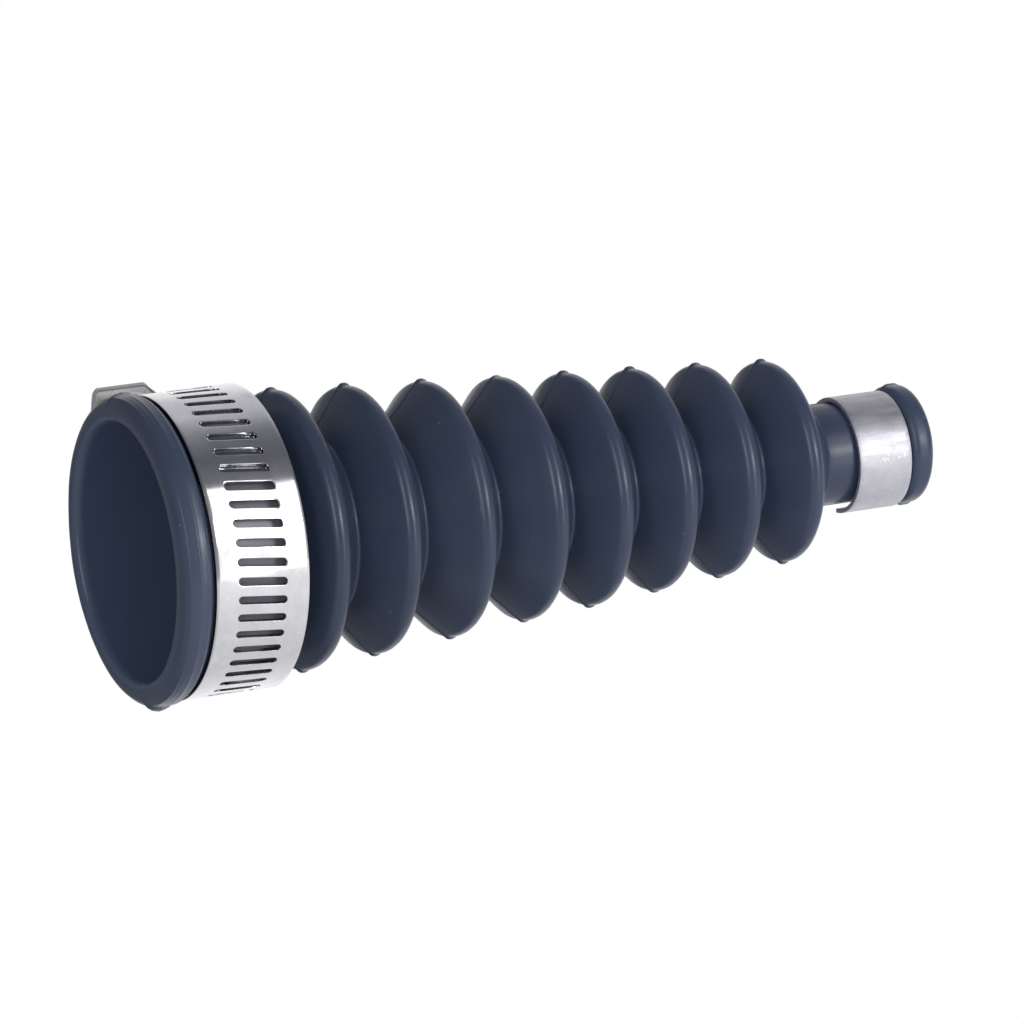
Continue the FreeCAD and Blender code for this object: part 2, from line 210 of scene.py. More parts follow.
def fold_circles():
    """Circles (z, radius, bend) from the shoulder to the neck, and the places of the crests."""
    crests = [FIRST_CREST]
    valleys = []
    for gap in range(FOLD_COUNT - 1):
        pitch = FOLD_PITCH + (GAP_STRETCHES[gap] if gap < len(GAP_STRETCHES) else 0.0)
        lean = GAP_LEANS[gap] if gap < len(GAP_LEANS) else LATER_LEAN
        valleys.append(crests[-1] + pitch / 2 - lean)
        crests.append(crests[-1] + pitch)

    def taper(first, last, places, z):
        return first + (last - first) * (z - places[0]) / (places[-1] - places[0])

    circles = [(GROOVE_END - SHOULDER_ROUND, GROOVE_RADIUS - SHOULDER_ROUND, SHOULDER_ROUND)]
    circles.append((FIRST_VALLEY, GROOVE_RADIUS - FIRST_VALLEY_DEPTH + VALLEY_ROUND, -VALLEY_ROUND))
    for index, z in enumerate(crests):
        radius = taper(FIRST_CREST_RADIUS, LAST_CREST_RADIUS, crests, z)
        circles.append((z, radius - CREST_ROUND, CREST_ROUND))
        if index < len(valleys):
            radius = taper(SECOND_VALLEY_RADIUS, LAST_VALLEY_RADIUS, valleys, valleys[index])
            circles.append((valleys[index], radius + VALLEY_ROUND, -VALLEY_ROUND))
    circles.append((crests[-1] + LAST_FLANK, NECK_RADIUS + NECK_FILLET, -NECK_FILLET))
    return circles, crests


def run_normal(first, second):
    """Angle of the normal of the straight run from one circle to the next."""
    run = math.hypot(second[0] - first[0], second[1] - first[1])
    heading = math.atan2(second[1] - first[1], second[0] - first[0])
    angle = heading - math.asin((first[2] - second[2]) / run)
    return angle + math.pi / 2


def walk(circles, inset, arc_step, run_step):
    """Points (radius, z) along the path round the circles, moved inward by the inset."""
    moved = [(z, r, bend - inset) for z, r, bend in circles]
    normals = [run_normal(a, b) for a, b in zip(moved, moved[1:])]
    points = []

    def on(circle, angle):
        return (circle[1] + circle[2] * math.sin(angle), circle[0] + circle[2] * math.cos(angle))

    for index, angle in enumerate(normals):
        if index:
            before = normals[index - 1]
            turn = (angle - before + math.pi) % (2 * math.pi) - math.pi
            steps = max(1, round(abs(turn) / arc_step))
            points += [on(moved[index], before + turn * k / steps) for k in range(1, steps)]
        start = on(moved[index], angle)
        end = on(moved[index + 1], angle)
        steps = max(1, round(math.dist(start, end) / run_step))
        points += [tuple(s + (e - s) * k / steps for s, e in zip(start, end)) for k in range(steps + 1)]
    return points


def arc_points(centre, radius, first, last, steps):
    """Points (radius, z) on an arc. Angles are measured from outward toward +Z."""
    points = []
    for k in range(steps + 1):
        angle = math.radians(first + (last - first) * k / steps)
        points.append((centre[0] + radius * math.cos(angle), centre[1] + radius * math.sin(angle)))
    return points


def straight(first, last, steps):
    """Points between two ends, without the ends themselves."""
    return [tuple(a + (b - a) * k / steps for a, b in zip(first, last)) for k in range(1, steps)]


# Mould marks: the parting line's ridge and the flash nubs on it

def near(distance, width, flatness=2):
    """1 at no distance, falling to 0 past the width. A higher flatness falls more steeply."""
    return math.exp(-(distance / width) ** flatness)


def parting_marks(crests):
    """(side, z, height, half length, half width) of each nub, in mm. Side 0 is +X, side 180 is -X."""
    random.seed(11)
    marks = []
    for index, z in enumerate(crests):
        for side in (0, 180):
            height = 0.08 if (index == 3 and side == 0) else random.uniform(0.16, 0.27)
            marks.append((side, z, height, 0.75, 0.55))
    marks.append((0, LIP_WIDTH / 2, 0.12, 1.0, 0.9))
    marks.append((180, LIP_WIDTH / 2, 0.45, 1.1, 1.1))
    marks.append((0, BEAD_START + 1.7, 0.1, 0.9, 0.5))
    marks.append((180, BEAD_START + 1.7, 0.15, 0.9, 0.5))
    return marks


def lip_profile():
    """Points (radius, z) round the lip from its face to the groove. Its back is the fuller half."""
    points = []
    for k in range(61):
        across = math.sin(math.radians(3 * k - 90))
        fullness = 2.0 if k < 30 else 3.6
        drop = 1 - math.sqrt(max(1 - abs(across) ** fullness, 0.0))
        z = LIP_WIDTH / 2 * (1 + across)
        rib = sum(near(z - place, LIP_RIB_HALF_WIDTH) for place in LIP_RIBS)
        points.append((LIP_RADIUS - LIP_WIDTH / 2 * drop + LIP_RIB_HEIGHT * rib, z))
    return points


def boot_outline(circles):
    """The wall's closed outline as points (radius, z), and whether each is on its outside."""
    path = [(LIP_WIDTH, GROOVE_RADIUS, 0.0)] + circles + [(BEAD_START, NECK_RADIUS, 0.0)]
    outside = walk(path, 0.0, math.radians(13), 1.15)
    inside = walk(path, WALL, math.radians(24), 2.6)
    top = BEAD_START + BEAD_WIDTH
    bore = inside[0][0]
    neck_bore = inside[-1][0]
    loop = [(bore, LIP_LEAD), (bore + LIP_LEAD, 0.0)]
    loop += lip_profile()
    loop += outside
    loop += arc_points((NECK_RADIUS, BEAD_START + BEAD_HEIGHT), BEAD_HEIGHT, -90, 0, 5)[1:]
    loop += arc_points((NECK_RADIUS, top - BEAD_HEIGHT), BEAD_HEIGHT, 0, 90, 6)
    loop += [(neck_bore + END_LEAD, top), (neck_bore, top - END_LEAD)]
    outer_count = len(loop) - 2
    loop += list(reversed(inside))
    loop += straight(inside[0], (bore, LIP_LEAD), 3)

    points = [loop[0]]
    outer = [True]
    for index, point in enumerate(loop[1:], 1):
        if math.dist(point, points[-1]) > 1e-4:
            points.append(point)
            outer.append(index < outer_count)
    return points, outer


def boot_angles():
    """Angles of the mesh's columns: close together at the parting line and even elsewhere."""
    fine = [0.22, 0.45, 0.7, 1.0, 1.35, 1.8, 2.4, 3.2, 4.2, 5.4]
    angles = []
    for centre in (0.0, 180.0):
        angles += [centre - a for a in reversed(fine)] + [centre] + [centre + a for a in fine]
        angles += [centre + 6.6 + 1.98 * k for k in range(85)]
    return sorted(a % 360.0 for a in angles)


def mark_lift(marks, side, distance, z):
    """How far the parting line's ridge and its nubs stand out, at a distance from the line."""
    lift = PARTING_HEIGHT * near(distance, PARTING_HALF_WIDTH)
    for mark_side, mark_z, height, length, width in marks:
        if mark_side == side and abs(z - mark_z) < 3 * length:
            lift += height * near(distance, width, 4) * near(z - mark_z, length, 4)
    return lift


def boot_mesh():
    """The wall turned round the axis, a little uneven, its lip swelled toward the band."""
    circles, crests = fold_circles()
    outline, outer = boot_outline(circles)
    angles = boot_angles()
    marks = parting_marks(crests)
    vertices = []
    count = len(outline)
    for angle in angles:
        side = 0 if min(angle, 360 - angle) < 90 else 180
        off = math.radians(min(abs(angle - side), 360 - abs(angle - side)))
        off_housing = (angle - HOUSING_ANGLE + 180) % 360 - 180
        freed = 1 - near(off_housing, 36, 6)
        for index, (radius, z) in enumerate(outline):
            before, after = outline[index - 1], outline[(index + 1) % count]
            along = (after[0] - before[0], after[1] - before[1])
            size = math.hypot(*along) or 1.0
            normal = (along[1] / size, -along[0] / size)
            lift = 0.0
            if outer[index] and off < 0.35:
                lift = mark_lift(marks, side, off * radius, z)
            spot = Vector(polar(radius, angle, z))
            lift += 0.05 * noise.noise(spot * 0.11) + 0.012 * noise.noise(spot * 0.6)
            height = z + normal[1] * lift
            if outer[index] and z < LIP_WIDTH + 0.01 and radius > GROOVE_RADIUS + 0.1:
                height += LIP_SWELL * z / LIP_WIDTH * freed
            vertices.append(polar(radius + normal[0] * lift, angle, max(height, 0.0)))
    faces = []
    turns = len(angles)
    for i in range(turns):
        j = (i + 1) % turns
        for k in range(count):
            m = (k + 1) % count
            faces.append((i * count + k, j * count + k, j * count + m, i * count + m))
    return vertices, faces


# Clamp band: a flat pattern of cells, one per slot, rolled on to the strip's path

def strip_radius(angle, z):
    """Radius of the strip's outer face. The worm has pressed the tongue's bars out a little."""
    if angle >= CLIMB_START:
        turn = (angle - FIRST_UNDER) * math.radians(1) * BAND_OUTER_RADIUS
        turn -= math.tan(math.radians(SLOT_TILT)) * (z - BAND_MIDDLE)
        phase = turn / math.radians(SLOT_PITCH_ANGLE) / BAND_OUTER_RADIUS
        pressed = BAR_PRESS / 2 * (1 - math.cos(math.tau * phase))
        pressed *= near(z - BAND_MIDDLE, BAR_PRESS_REACH, 4)
        slotted = FIRST_UNDER < angle < TONGUE_START - SLOT_MARGIN_ANGLE
        return BAND_OUTER_RADIUS - TONGUE_DROP + (pressed if slotted else 0.0)
    if angle <= CLIMB_END:
        return BAND_OUTER_RADIUS
    share = (CLIMB_START - angle) / (CLIMB_START - CLIMB_END)
    return BAND_OUTER_RADIUS - TONGUE_DROP * (1 - share * share * (3 - 2 * share))


class Sheet:
    """A strip's faces as quads in (angle, z), and the solid that they make with a thickness."""

    def __init__(self):
        self.points = {}
        self.quads = []

    def point(self, angle, z):
        key = (round(angle, 4), round(z, 4))
        return self.points.setdefault(key, len(self.points))

    def quad(self, corners):
        ids = [self.point(*corner) for corner in corners]
        if len(set(ids)) > 2:
            self.quads.append(tuple(dict.fromkeys(ids)))

    def grid(self, columns):
        for left, right in zip(columns, columns[1:]):
            for low in range(len(left) - 1):
                self.quad([left[low], right[low], right[low + 1], left[low + 1]])

    def solid(self, radius_at, thickness, moved=None):
        flat = [moved(a, z) for a, z in self.points] if moved else list(self.points)
        count = len(flat)
        outer = [polar(radius_at(a, z), a, z) for a, z in flat]
        inner = [polar(radius_at(a, z) - thickness, a, z) for a, z in flat]
        faces = list(self.quads)
        faces += [tuple(count + i for i in reversed(quad)) for quad in self.quads]
        edges = dict.fromkeys(pair for quad in self.quads for pair in zip(quad, quad[1:] + quad[:1]))
        for a, b in edges:
            if (b, a) not in edges:
                faces.append((b, a, count + a, count + b))
        return outer + inner, faces


def band_mesh():
    """The whole strip: tail, slotted outer turn, climb, and slotted tongue."""
    sheet = Sheet()
    degrees = 1 / math.radians(BAND_OUTER_RADIUS)
    half_pitch = SLOT_PITCH_ANGLE / 2
    half_slot = SLOT_WIDTH / 2
    reach = SLOT_LENGTH / 2 - half_slot
    cell_top = 4.15
    edge = BAND_WIDTH / 2
    lean = math.tan(math.radians(SLOT_TILT)) * degrees
    side_levels = [-reach + 2 * reach * k / 6 for k in range(7)]
    between = (reach + cell_top) / 2
    cell_levels = [-cell_top, -between] + side_levels + [between, cell_top]
    margin_levels = [cell_top, 5.0, 5.8, edge]
    levels = [-z for z in reversed(margin_levels)][:-1] + cell_levels + margin_levels[1:]

    def at(centre, across, z, shear=1.0):
        return (centre + across + lean * z * shear, BAND_MIDDLE + z)

    def outline(share):
        """Points round a cell, from its slot's edge at share 0 to the cell's edge at share 1."""
        points = []
        for sign in (1, -1):
            for z in side_levels:
                slot = (sign * half_slot * degrees, sign * z)
                cell = (sign * half_pitch, sign * z)
                points.append((slot, cell))
            for k in range(1, 12):
                turn = math.radians(15 * k)
                slot_across = half_slot * degrees * math.cos(turn)
                slot = (sign * slot_across, sign * (reach + half_slot * math.sin(turn)))
                if k == 1:
                    cell = (half_pitch, between)
                elif k == 11:
                    cell = (-half_pitch, between)
                else:
                    cell = (half_pitch * (1 - (k - 2) / 4), cell_top)
                points.append((slot, (sign * cell[0], sign * cell[1])))
        return [tuple(s + (c - s) * share for s, c in zip(slot, cell)) for slot, cell in points]

    loops = [outline(share) for share in (0.0, 0.22, 0.55, 1.0)]

    def slotted(first, last):
        """Cells with a slot each, from the first slot's angle. Gives the angle where they end."""
        slots = int((last - first) / SLOT_PITCH_ANGLE) + 1
        for index in range(slots):
            centre = first + index * SLOT_PITCH_ANGLE
            for inner, outer in zip(loops, loops[1:]):
                for k in range(len(inner)):
                    m = (k + 1) % len(inner)
                    corners = (outer[k], outer[m], inner[m], inner[k])
                    sheet.quad([at(centre, across, z) for across, z in corners])
            shares = [half_pitch * (k / 4 - 1) for k in range(9)]
            for sign in (1, -1):
                rows = [sign * z for z in margin_levels]
                rows = rows if sign == 1 else rows[::-1]
                columns = [[at(centre, across, z) for z in rows] for across in shares]
                sheet.grid(columns)
        return first + (slots - 1) * SLOT_PITCH_ANGLE + half_pitch

    def plain(first, last, first_shear, last_shear, step):
        """Strip without slots between two angles, its ends leaning by their share of the slots' lean."""
        count = max(1, math.ceil(abs(last - first) / step))
        columns = []
        for k in range(count + 1):
            share = k / count
            shear = first_shear + (last_shear - first_shear) * share
            columns.append([at(first + (last - first) * share, 0.0, z, shear) for z in levels])
        sheet.grid(columns)

    def rounded_tail(angle, z):
        """Moves the points near the tail's end so that its corners are round."""
        blend = 2 * TAIL_CORNER
        along = (angle - TAIL_END) / degrees
        past = abs(z - BAND_MIDDLE) - (edge - TAIL_CORNER)
        if past <= 0 or along >= blend:
            return angle, z
        edge_at = TAIL_CORNER - math.sqrt(max(TAIL_CORNER ** 2 - past ** 2, 0.0))
        return TAIL_END + (edge_at + along * (1 - edge_at / blend)) * degrees, z

    first_slot = TAIL_END + SLOT_MARGIN_ANGLE
    plain(TAIL_END, first_slot - half_pitch, 0.0, 1.0, 0.6)
    slots_end = slotted(first_slot, CLIMB_END - SLOT_MARGIN_ANGLE)
    plain(slots_end, CLIMB_END, 1.0, 0.0, 1.2)
    plain(CLIMB_END, CLIMB_START, 0.0, 0.0, 1.5)
    plain(CLIMB_START, FIRST_UNDER - half_pitch, 0.0, 1.0, 1.2)
    slots_end = slotted(FIRST_UNDER, TONGUE_START - SLOT_MARGIN_ANGLE)
    plain(slots_end, TONGUE_START, 1.0, 0.0, 1.2)
    return sheet.solid(strip_radius, BAND_THICKNESS, rounded_tail)


# Crimp sleeve

def sleeve_mesh():
    """The open strip, moved toward -X so that it all but touches the neck on its +X side."""
    sheet = Sheet()
    rows = [SLEEVE_BOTTOM + SLEEVE_WIDTH * k / 10 for k in range(11)]
    count = 150
    turn = SLEEVE_END - SLEEVE_START
    columns = [[(SLEEVE_START + turn * k / count, z) for z in rows] for k in range(count + 1)]
    sheet.grid(columns)
    vertices, faces = sheet.solid(lambda angle, z: SLEEVE_INNER_RADIUS + SLEEVE_THICKNESS, SLEEVE_THICKNESS)
    return [(x - SLEEVE_DROP, y, z) for x, y, z in vertices], faces


# Clamp housing, its plate and the saddle below it

def housing_place(out, along, across):
    """A point given in the housing's own directions: out through the worm, along it, and across."""
    turn = math.radians(HOUSING_ANGLE)
    x = out * math.cos(turn) - along * math.sin(turn)
    y = out * math.sin(turn) + along * math.cos(turn)
    return (x, y, BAND_MIDDLE + across)


def edge_distance(polygon, angle):
    """How far a ray from the middle of a polygon runs before it meets its edge."""
    across, up = math.cos(angle), math.sin(angle)
    for (x, y), (next_x, next_y) in zip(polygon, polygon[1:] + polygon[:1]):
        side_x, side_y = next_x - x, next_y - y
        cross = across * side_y - up * side_x
        if abs(cross) > 1e-9:
            distance = (x * side_y - y * side_x) / cross
            share = (x * up - y * across) / cross
            if distance > 0 and -1e-6 < share < 1 + 1e-6:
                return distance


def housing_mesh():
    """The arch over the worm, and the plate across its end by the head that holds the screw's neck."""
    knee = (HOUSING_KNEE - LEG_HALF_WIDTH, BAND_OUTER_RADIUS + HOUSING_LEG_HEIGHT, HOUSING_KNEE)
    corner = (HOUSING_CORNER - HOUSING_TOP_WIDTH / 2, HOUSING_TOP_RADIUS - HOUSING_CORNER, HOUSING_CORNER)
    circles = [(-LEG_HALF_WIDTH, 0.0, 0.0), knee, corner]
    circles += [(-across, out, bend) for across, out, bend in reversed(circles)]
    inner, outer = [walk(circles, inset, math.radians(9), 99.0) for inset in (HOUSING_SHEET, 0.0)]
    count = len(outer)
    row = 2 * count
    spans = 12
    vertices = []
    for k in range(spans + 1):
        along = HOUSING_LENGTH * (k / spans - 0.5)
        foot = math.sqrt(SADDLE_INNER_RADIUS ** 2 - along ** 2)
        for out, across in outer + inner:
            past = max(0.0, abs(across) - HOUSING_TOP_WIDTH / 2 + HOUSING_END_ROUND)
            back = HOUSING_END_ROUND - math.sqrt(max(HOUSING_END_ROUND ** 2 - past ** 2, 0.0))
            trimmed = along - back * max(0.0, 2 * k / spans - 1)
            vertices.append(housing_place(max(out, foot), trimmed, across))
    faces = []
    for k in range(spans):
        for m in range(count - 1):
            for a in (k * row + m, k * row + count + m):
                faces.append((a, a + 1, a + row + 1, a + row))
        for a in (k * row, k * row + count - 1):
            faces.append((a, a + count, a + row + count, a + row))
    for a in (0, spans * row):
        faces += [(a + m, a + m + 1, a + count + m + 1, a + count + m) for m in range(count - 1)]

    lowest = BAND_OUTER_RADIUS + SCREW_CLEARANCE
    middle_line = walk(circles, HOUSING_SHEET / 2, math.radians(9), 99.0)
    polygon = [(max(out, lowest) - SCREW_AXIS_RADIUS, across) for out, across in middle_line]
    angles = [math.atan2(up, across) for across, up in polygon]
    angles += [math.tau * k / 40 - 3.1 for k in range(40)]
    angles.sort()
    hole_reaches = [SCREW_NECK_RADIUS + SCREW_CLEARANCE] * len(angles)
    rim_reaches = [edge_distance(polygon, angle) for angle in angles]
    start = len(vertices)
    for along in (-HOUSING_LENGTH / 2, HOUSING_SHEET - HOUSING_LENGTH / 2):
        for reaches in (hole_reaches, rim_reaches):
            for angle, reach in zip(angles, reaches):
                out = SCREW_AXIS_RADIUS + reach * math.cos(angle)
                vertices.append(housing_place(out, along, reach * math.sin(angle)))
    turns = len(angles)
    hole, rim, far_hole, far_rim = [start + k * turns for k in range(4)]
    for first, second in ((hole, rim), (rim, far_rim), (far_rim, far_hole), (far_hole, hole)):
        for k in range(turns):
            m = (k + 1) % turns
            faces.append((first + k, first + m, second + m, second + k))
    return vertices, faces


def welded_mesh(solid):
    """The solid's own mesh with its corners joined, so that its edges can be rounded."""
    mesh = bmesh.new()
    mesh.from_mesh(solid.data)
    mesh.transform(solid.matrix_world)
    bmesh.ops.remove_doubles(mesh, verts=mesh.verts, dist=0.001 * MM)
    bmesh.ops.dissolve_limit(mesh, angle_limit=math.radians(1), verts=mesh.verts, edges=mesh.edges)
    mesh.verts.index_update()
    vertices = [tuple(v.co / MM) for v in mesh.verts]
    faces = [tuple(v.index for v in face.verts) for face in mesh.faces]
    mesh.free()
    return vertices, faces


# Clamp screw: the head, collar and neck of the solid, and a worm with a real thread

def worm_radius(along, turn):
    """Radius of the worm at a place along it and an angle round it, in turns."""
    phase = abs((along / THREAD_PITCH - turn) % 1.0 - 0.5)
    crest = min(max((0.36 - phase) / 0.2, 0.0), 1.0)
    fade = min(max((along - THREAD_LOW) / 1.2, 0.0), max((THREAD_HIGH - along) / 1.0, 0.0), 1.0)
    return THREAD_RADIUS - THREAD_DEPTH * (1 - crest * fade)


def screw_mesh(solid):
    """The solid's mesh up to the cut in its neck, with the threaded worm from there on."""
    mesh = bmesh.new()
    mesh.from_mesh(solid.data)
    mesh.transform(solid.matrix_world)
    cut = Vector(housing_place(SCREW_AXIS_RADIUS, SCREW_CUT, 0.0)) * MM
    away = Vector(housing_place(0.0, 1.0, -BAND_MIDDLE))
    bmesh.ops.bisect_plane(mesh, geom=mesh.verts[:] + mesh.edges[:] + mesh.faces[:],
                           plane_co=cut, plane_no=away, clear_outer=True)
    mesh.verts.index_update()
    vertices = [tuple(v.co / MM) for v in mesh.verts]
    faces = [tuple(v.index for v in face.verts) for face in mesh.faces]
    mesh.free()

    sides = 72
    steps = 130
    rings = [(SCREW_CUT, 0.0, SCREW_NECK_RADIUS), (THREAD_LOW, 0.0, SCREW_NECK_RADIUS)]
    for k in range(steps + 1):
        rings.append((THREAD_LOW + (THREAD_HIGH - THREAD_LOW) * k / steps, 1.0, 0.0))
    rings += [(TIP_HIGH, 0.0, TIP_RADIUS), (TIP_HIGH, 0.0, TIP_HOLE_RADIUS)]
    rings.append((TIP_HIGH - TIP_HOLE_DEPTH, 0.0, TIP_HOLE_DEPTH))
    start = len(vertices)
    for along, threaded, radius in rings:
        for side in range(sides):
            turn = side / sides
            size = worm_radius(along, turn) if threaded else radius
            out = SCREW_AXIS_RADIUS + size * math.cos(turn * math.tau)
            vertices.append(housing_place(out, along, size * math.sin(turn * math.tau)))
    for k in range(len(rings) - 1):
        for side in range(sides):
            a = start + k * sides + side
            b = start + k * sides + (side + 1) % sides
            faces.append((a, a + sides, b + sides, b))
    last = start + (len(rings) - 1) * sides
    faces.append(tuple(last + side for side in reversed(range(sides))))
    return vertices, faces


# Materials

def set_stops(elements, stops):
    """Gives a colour ramp its stops: (position, value or colour) in rising order."""
    colours = [value if isinstance(value, tuple) else (value, value, value) for _, value in stops]
    for position, _ in stops[1:-1]:
        elements.new(position)
    for element, (position, _), colour in zip(elements, stops, colours):
        element.position = position
        element.color = (*colour, 1.0)


def math_node(tree, operation, *values):
    """A math node that takes numbers or other nodes' outputs. Gives its own output."""
    node = tree.nodes.new("ShaderNodeMath")
    node.operation = operation
    for socket, value in zip(node.inputs, values):
        if isinstance(value, (int, float)):
            socket.default_value = value
        else:
            tree.links.new(value, socket)
    return node.outputs["Value"]


class Nodes:
    """Shorthand for one material's nodes."""

    def __init__(self, name):
        self.material = bpy.data.materials.new(name)
        self.material.use_nodes = True
        self.tree = self.material.node_tree
        self.shader = self.tree.nodes["Principled BSDF"]
        self.place = self.tree.nodes.new("ShaderNodeTexCoord").outputs["Object"]
        parts = self.add("SeparateXYZ")
        self.link(self.place, parts.inputs["Vector"])
        self.axes = parts.outputs

    def add(self, kind, **settings):
        node = self.tree.nodes.new("ShaderNode" + kind)
        for name, value in settings.items():
            setattr(node, name, value)
        return node

    def link(self, source, target):
        self.tree.links.new(source, target)

    def noise(self, scale, detail=4.0, roughness=0.5, stretch=None):
        node = self.add("TexNoise")
        node.inputs["Scale"].default_value = scale
        node.inputs["Detail"].default_value = detail
        node.inputs["Roughness"].default_value = roughness
        source = self.place
        if stretch:
            mapping = self.add("Mapping")
            mapping.inputs["Scale"].default_value = stretch
            self.link(source, mapping.inputs["Vector"])
            source = mapping.outputs["Vector"]
        self.link(source, node.inputs["Vector"])
        return node.outputs["Fac"]

    def ramp(self, source, stops):
        node = self.add("ValToRGB")
        set_stops(node.color_ramp.elements, stops)
        self.link(source, node.inputs["Fac"])
        return node.outputs["Color"]

    def math(self, operation, *values):
        return math_node(self.tree, operation, *values)

    def mix(self, share, first, second):
        """The first colour, or the second where the share is 1."""
        node = self.add("MixRGB", blend_type="MIX")
        for socket, value in zip(node.inputs, (share, first, second)):
            if isinstance(value, tuple):
                socket.default_value = (*value, 1.0)
            else:
                self.link(value, socket)
        return node.outputs["Color"]

    def toward_neck(self):
        """0 at the mouth, rising to 1 at the neck."""
        return self.math("DIVIDE", self.axes["Z"], BEAD_START * MM)

    def between(self, value, low, high):
        """1 where a value in metres is between two lengths in mm, 0 elsewhere."""
        above = self.math("GREATER_THAN", value, low * MM)
        return self.math("MULTIPLY", above, self.math("LESS_THAN", value, high * MM))

    def radius(self):
        """Distance from the boot's axis."""
        squares = [self.math("MULTIPLY", self.axes[axis], self.axes[axis]) for axis in "XY"]
        return self.math("SQRT", self.math("ADD", *squares))

    def lip(self):
        """Painted light on the mouth's lip: rises over it from its face to its outside, less on its +X
        side, which is painted darker as shade. 0 past it.
        """
        rise = self.math("ADD", self.math("DIVIDE", self.axes["Z"], LIP_WIDTH * MM), 0.45)
        rise = self.math("MINIMUM", rise, 1.0)
        top = self.math("MULTIPLY", self.math("MAXIMUM", self.axes["X"], 0.0), 0.8 / LIP_RADIUS / MM)
        painted_lip_light = self.math("MULTIPLY", rise, self.math("SUBTRACT", 1.0, top))
        return self.math("MULTIPLY", painted_lip_light, self.between(self.axes["Z"], -1.0, LIP_WIDTH + LIP_SWELL))

    def housing_rim(self):
        """1 along the edge of the housing's open end, where it is painted darker as shade, 0 elsewhere."""
        turn = math.radians(HOUSING_ANGLE)
        along = self.math("ADD", self.math("MULTIPLY", self.axes["X"], -math.sin(turn) / MM),
                          self.math("MULTIPLY", self.axes["Y"], math.cos(turn) / MM))
        up = self.math("SUBTRACT", self.math("MULTIPLY", self.axes["Z"], 1 / MM), BAND_MIDDLE)
        corner = HOUSING_TOP_WIDTH / 2 - HOUSING_END_ROUND
        past = self.math("MAXIMUM", self.math("SUBTRACT", self.math("ABSOLUTE", up), corner), 0.0)
        left = self.math("SUBTRACT", HOUSING_END_ROUND ** 2, self.math("MULTIPLY", past, past))
        root = self.math("SQRT", self.math("MAXIMUM", left, 0.0))
        square = self.math("SUBTRACT", along, root)
        return self.math("GREATER_THAN", square, HOUSING_LENGTH / 2 - HOUSING_END_ROUND - 0.4)

    def worn_spot(self):
        """1 on the flecks of a worn spot in the middle of the sleeve's near side, 0 elsewhere."""
        spans = []
        for axis, middle, reach in (("X", -0.6, 1.5), ("Z", SLEEVE_BOTTOM + 4.6, 2.6)):
            off = self.math("DIVIDE", self.math("SUBTRACT", self.axes[axis], middle * MM), reach * MM)
            spans.append(self.math("MULTIPLY", off, off))
        near_spot = self.math("SUBTRACT", 1.0, self.math("ADD", *spans))
        flecks = self.math("ADD", self.noise(1700.0, 3.0, 0.6), self.math("MULTIPLY", near_spot, 0.1))
        flecks = self.math("GREATER_THAN", flecks, 0.62)
        shown = self.math("MULTIPLY", flecks, self.math("GREATER_THAN", near_spot, 0.0))
        return self.math("MULTIPLY", shown, self.math("GREATER_THAN", self.axes["Y"], 0.0))

    def behind_band(self):
        """1 at the groove's end, falling to 0 at the first fold's crest. 0 elsewhere."""
        left = self.math("SUBTRACT", FIRST_CREST * MM, self.axes["Z"])
        fade = self.math("DIVIDE", left, (FIRST_CREST - UNDER_BAND_END) * MM)
        return self.math("MULTIPLY", fade, self.between(self.axes["Z"], UNDER_BAND_END, FIRST_CREST))

    def bore(self):
        """1 on the mouth's bore and 0 elsewhere."""
        inside = self.between(self.radius(), 0.0, GROOVE_RADIUS - WALL / 2)
        return self.math("MULTIPLY", inside, self.between(self.axes["Z"], -1.0, GROOVE_END))

    def bump(self, height, strength, distance):
        node = self.add("Bump")
        node.inputs["Strength"].default_value = strength
        node.inputs["Distance"].default_value = distance
        self.link(height, node.inputs["Height"])
        self.link(node.outputs["Normal"], self.shader.inputs["Normal"])

    def set(self, **values):
        for name, value in values.items():
            self.shader.inputs[name.replace("_", " ")].default_value = value

    def colour(self, source):
        self.link(source, self.shader.inputs["Base Color"])

    def roughness(self, source):
        self.link(source, self.shader.inputs["Roughness"])


def rubber():
    """Blue-black rubber with painted light: paler toward the neck, on the lip, in the bore and just behind
    the band, and pale under the band. The lip's +X side is painted darker as shade.
    """
    n = Nodes("boot_rubber")
    tone = n.noise(90.0, 5.0, 0.6)
    colour = n.ramp(tone, [(0.3, (0.0235, 0.034, 0.063)), (0.7, (0.030, 0.0435, 0.080))])
    # Painted light: the rubber gets paler toward the neck.
    colour = n.mix(n.toward_neck(), colour, (0.038, 0.054, 0.101))
    # Painted light and reflection: the groove under the band is pale, as lit rubber would show through the
    # slots and in the gap by the lip.
    colour = n.mix(n.between(n.axes["Z"], BAND_BOTTOM, UNDER_BAND_END), colour, (0.20, 0.21, 0.24))
    # Painted light: the first fold is paler just behind the band, lifting the shade that the band throws on
    # it.
    colour = n.mix(n.behind_band(), colour, (0.060, 0.082, 0.135))
    # Painted light on the lip, lighter toward its outside; its +X side is kept darker, a painted shade.
    colour = n.mix(n.lip(), colour, (0.043, 0.060, 0.104))
    # Painted light: the mouth's bore is paler, as if lit inside.
    colour = n.mix(n.bore(), colour, (0.049, 0.068, 0.122))
    specks = n.ramp(n.noise(1500.0, 2.0, 0.5), [(0.755, 0.0), (0.79, 1.0)])
    n.colour(n.mix(specks, colour, (0.16, 0.18, 0.21)))
    n.roughness(n.ramp(n.noise(140.0, 4.0, 0.6), [(0.3, 0.27), (0.7, 0.36)]))
    grain = n.math("MULTIPLY", n.noise(2600.0, 3.0, 0.6), 0.6)
    n.bump(n.math("ADD", grain, n.noise(500.0, 3.0, 0.5)), 0.16, 0.00006)
    n.set(IOR=1.5)
    return n.material


